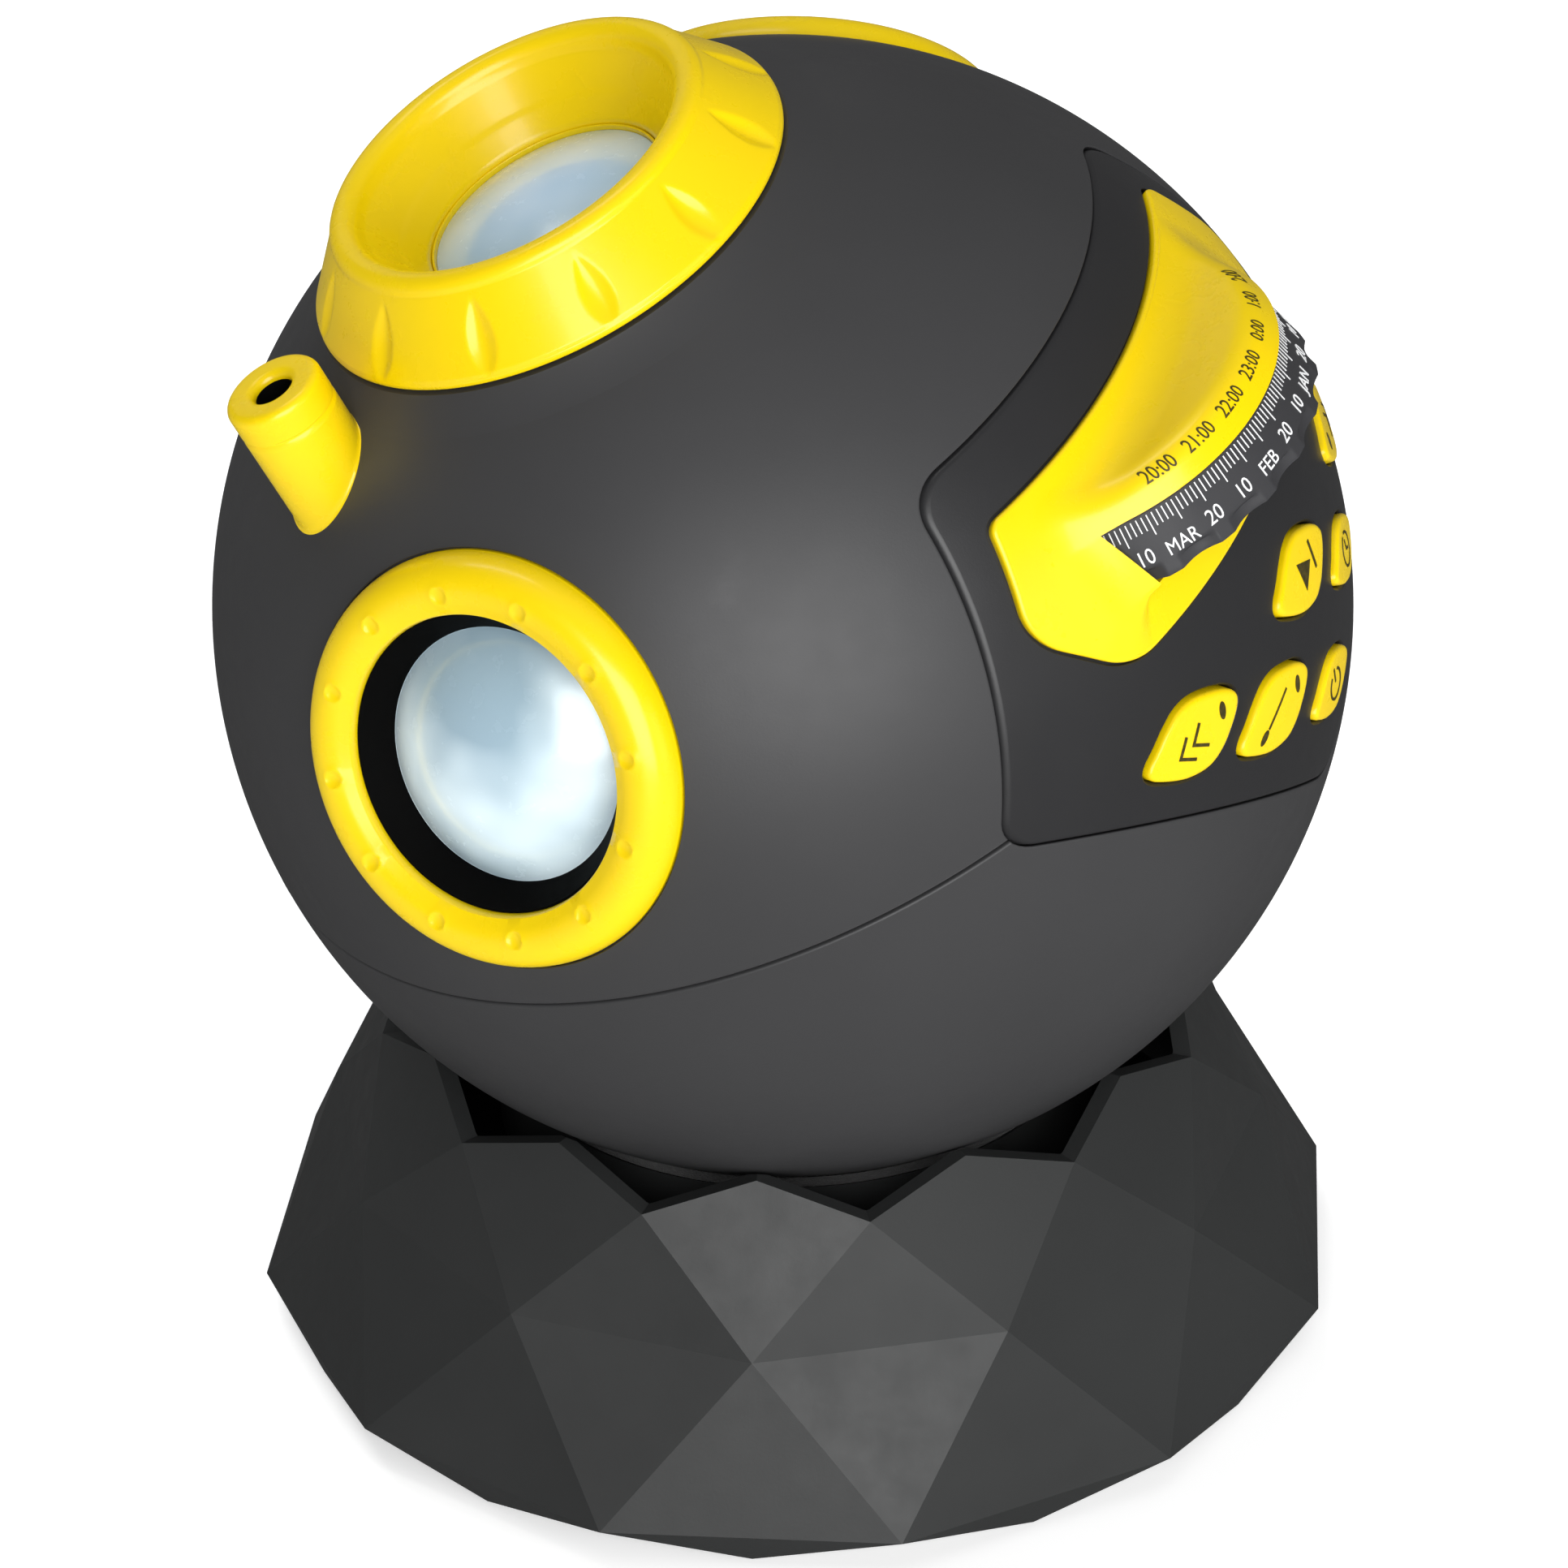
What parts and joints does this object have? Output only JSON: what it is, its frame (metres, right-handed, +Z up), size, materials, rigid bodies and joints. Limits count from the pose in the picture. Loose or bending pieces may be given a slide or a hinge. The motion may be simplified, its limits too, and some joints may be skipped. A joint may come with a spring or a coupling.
{
  "type": "planetarium projector",
  "caption": "Home planetarium projector: a ball with a focusing lens, date dial and push buttons that leans and turns in a faceted base.",
  "frame": {"origin": "centre of the base on the surface it stands on", "axes": "+Z up; the optical axis leans 25.6 degrees from +Z towards -X and -Y; the control panel faces +X and -Y"},
  "size_m": [0.1702, 0.1702, 0.2095],
  "materials": {
    "base_plastic": "matt, faceted",
    "black_inner": "matt",
    "board_green": "circuit board",
    "cell_wrap": "plain sleeve",
    "charcoal_shell": "fine satin texture",
    "dial_grey": "satin with white print",
    "felt_black": "needle felt",
    "film": "printed film",
    "frosted_lens": "polished, pale blue",
    "gear_nylon": "natural nylon",
    "led_white": "clear epoxy",
    "lens_clear": "polished",
    "motor_can": "plain",
    "rubber_black": "soft",
    "rubber_grey": "silicone",
    "sink_metal": "as extruded",
    "steel": "zinc plated",
    "yellow_gloss": "smooth gloss"
  },
  "bodies": {
    "base": {"base_shell": "base_plastic", "base_plate": "black_inner", "rubber_feet": "rubber_black", "base_screws": "steel"},
    "seat": {"seat_ring": "black_inner", "seat_felt": "felt_black"},
    "ball": {"main_housing": "charcoal_shell", "lower_dome": "charcoal_shell", "battery_door": "charcoal_shell", "seam_screws": "steel", "battery_tray": "black_inner", "batteries": "cell_wrap", "battery_contacts": "steel", "dc_jack": "black_inner", "lens_sleeve": "black_inner", "star_tube": "yellow_gloss", "star_nozzle": "yellow_gloss", "star_tube_lens": "lens_clear", "star_tube_lamp": "led_white", "port_ring_left": "yellow_gloss", "port_bezel_left": "black_inner", "port_lens_left": "frosted_lens", "port_lamp_left": "led_white", "port_ring_right": "yellow_gloss", "port_bezel_right": "black_inner", "port_lens_right": "frosted_lens", "port_lamp_right": "led_white", "control_panel": "charcoal_shell", "button_board": "board_green", "panel_screws": "steel", "keypad_mat": "rubber_grey", "dial_visor": "yellow_gloss", "dial_axle": "steel", "drive_motor": "motor_can", "optics_frame": "black_inner", "frame_screws": "steel", "condenser_lens": "lens_clear", "lamp_board": "board_green", "lamp_led": "led_white", "heat_sink": "sink_metal"},
    "focus": {"focus_ring": "yellow_gloss"},
    "lens": {"lens_barrel": "black_inner", "front_lens": "frosted_lens", "lens_retainer": "black_inner", "rear_lens": "lens_clear"},
    "dial": {"date_dial": "dial_grey"},
    "carrier": {"disc_carrier": "gear_nylon", "star_disc": "film", "disc_clip": "steel"},
    "idler": {"idler_gear": "gear_nylon"},
    "pinion": {"motor_pinion": "gear_nylon"},
    "button_back": {"button_back": "yellow_gloss"},
    "button_play": {"button_play": "yellow_gloss"},
    "button_forward": {"button_forward": "yellow_gloss"},
    "button_pointer": {"button_pointer": "yellow_gloss"},
    "button_timer": {"button_timer": "yellow_gloss"},
    "button_power": {"button_power": "yellow_gloss"}
  },
  "joints": [
    {"name": "base_swivel", "type": "hinge", "parent": "base", "child": "seat", "pos_m": [0, 0, 0.033], "axis": [0, 0, 1], "continuous": true},
    {"name": "ball_tilt", "type": "hinge", "parent": "seat", "child": "ball", "pos_m": [0, 0, 0.1156], "axis": [0.3955, -0.9184, 0], "range_deg": [-25.6, 20]},
    {"name": "focus_turn", "type": "hinge", "parent": "ball", "child": "focus", "pos_m": [-0.03175, -0.01367, 0.18775], "axis": [-0.3968, -0.1709, 0.9018], "range_deg": [-120, 60]},
    {"name": "lens_slide", "type": "slide", "parent": "ball", "child": "lens", "axis": [-0.3968, -0.1709, 0.9018], "range_m": [-0.0021, 0.00105]},
    {"name": "dial_turn", "type": "hinge", "parent": "ball", "child": "dial", "pos_m": [0.04516, -0.03056, 0.15407], "axis": [-0.3968, -0.1709, 0.9018], "continuous": true},
    {"name": "disc_turn", "type": "hinge", "parent": "ball", "child": "carrier", "pos_m": [-0.00873, -0.00376, 0.13544], "axis": [-0.3968, -0.1709, 0.9018], "continuous": true},
    {"name": "idler_turn", "type": "hinge", "parent": "ball", "child": "idler", "pos_m": [0.02365, -0.01839, 0.14248], "axis": [-0.3968, -0.1709, 0.9018], "continuous": true},
    {"name": "pinion_turn", "type": "hinge", "parent": "ball", "child": "pinion", "pos_m": [-0.02908, 0.00783, 0.12425], "axis": [-0.3968, -0.1709, 0.9018], "continuous": true},
    {"name": "press_back", "type": "slide", "parent": "ball", "child": "button_back", "axis": [-0.6591, 0.7387, -0.1411], "range_m": [0, 0.001], "stiffness_N_per_m": 300, "springref_m": -0.001},
    {"name": "press_play", "type": "slide", "parent": "ball", "child": "button_play", "axis": [-0.8586, 0.4323, -0.2756], "range_m": [0, 0.001], "stiffness_N_per_m": 300, "springref_m": -0.001},
    {"name": "press_forward", "type": "slide", "parent": "ball", "child": "button_forward", "axis": [-0.934, 0.0407, -0.3551], "range_m": [0, 0.001], "stiffness_N_per_m": 300, "springref_m": -0.001},
    {"name": "press_pointer", "type": "slide", "parent": "ball", "child": "button_pointer", "axis": [-0.8073, 0.5821, -0.0966], "range_m": [0, 0.001], "stiffness_N_per_m": 300, "springref_m": -0.001},
    {"name": "press_timer", "type": "slide", "parent": "ball", "child": "button_timer", "axis": [-0.9509, 0.2305, -0.2065], "range_m": [0, 0.001], "stiffness_N_per_m": 300, "springref_m": -0.001},
    {"name": "press_power", "type": "slide", "parent": "ball", "child": "button_power", "axis": [-0.9212, 0.3874, -0.0356], "range_m": [0, 0.001], "stiffness_N_per_m": 300, "springref_m": -0.001}
  ],
  "couplings": [
    {"joint": "lens_slide", "follows": "focus_turn", "m_per_rad": 0.001},
    {"joint": "disc_turn", "follows": "dial_turn", "ratio": 1},
    {"joint": "idler_turn", "follows": "dial_turn", "ratio": -1},
    {"joint": "pinion_turn", "follows": "dial_turn", "ratio": -2.4}
  ]
}
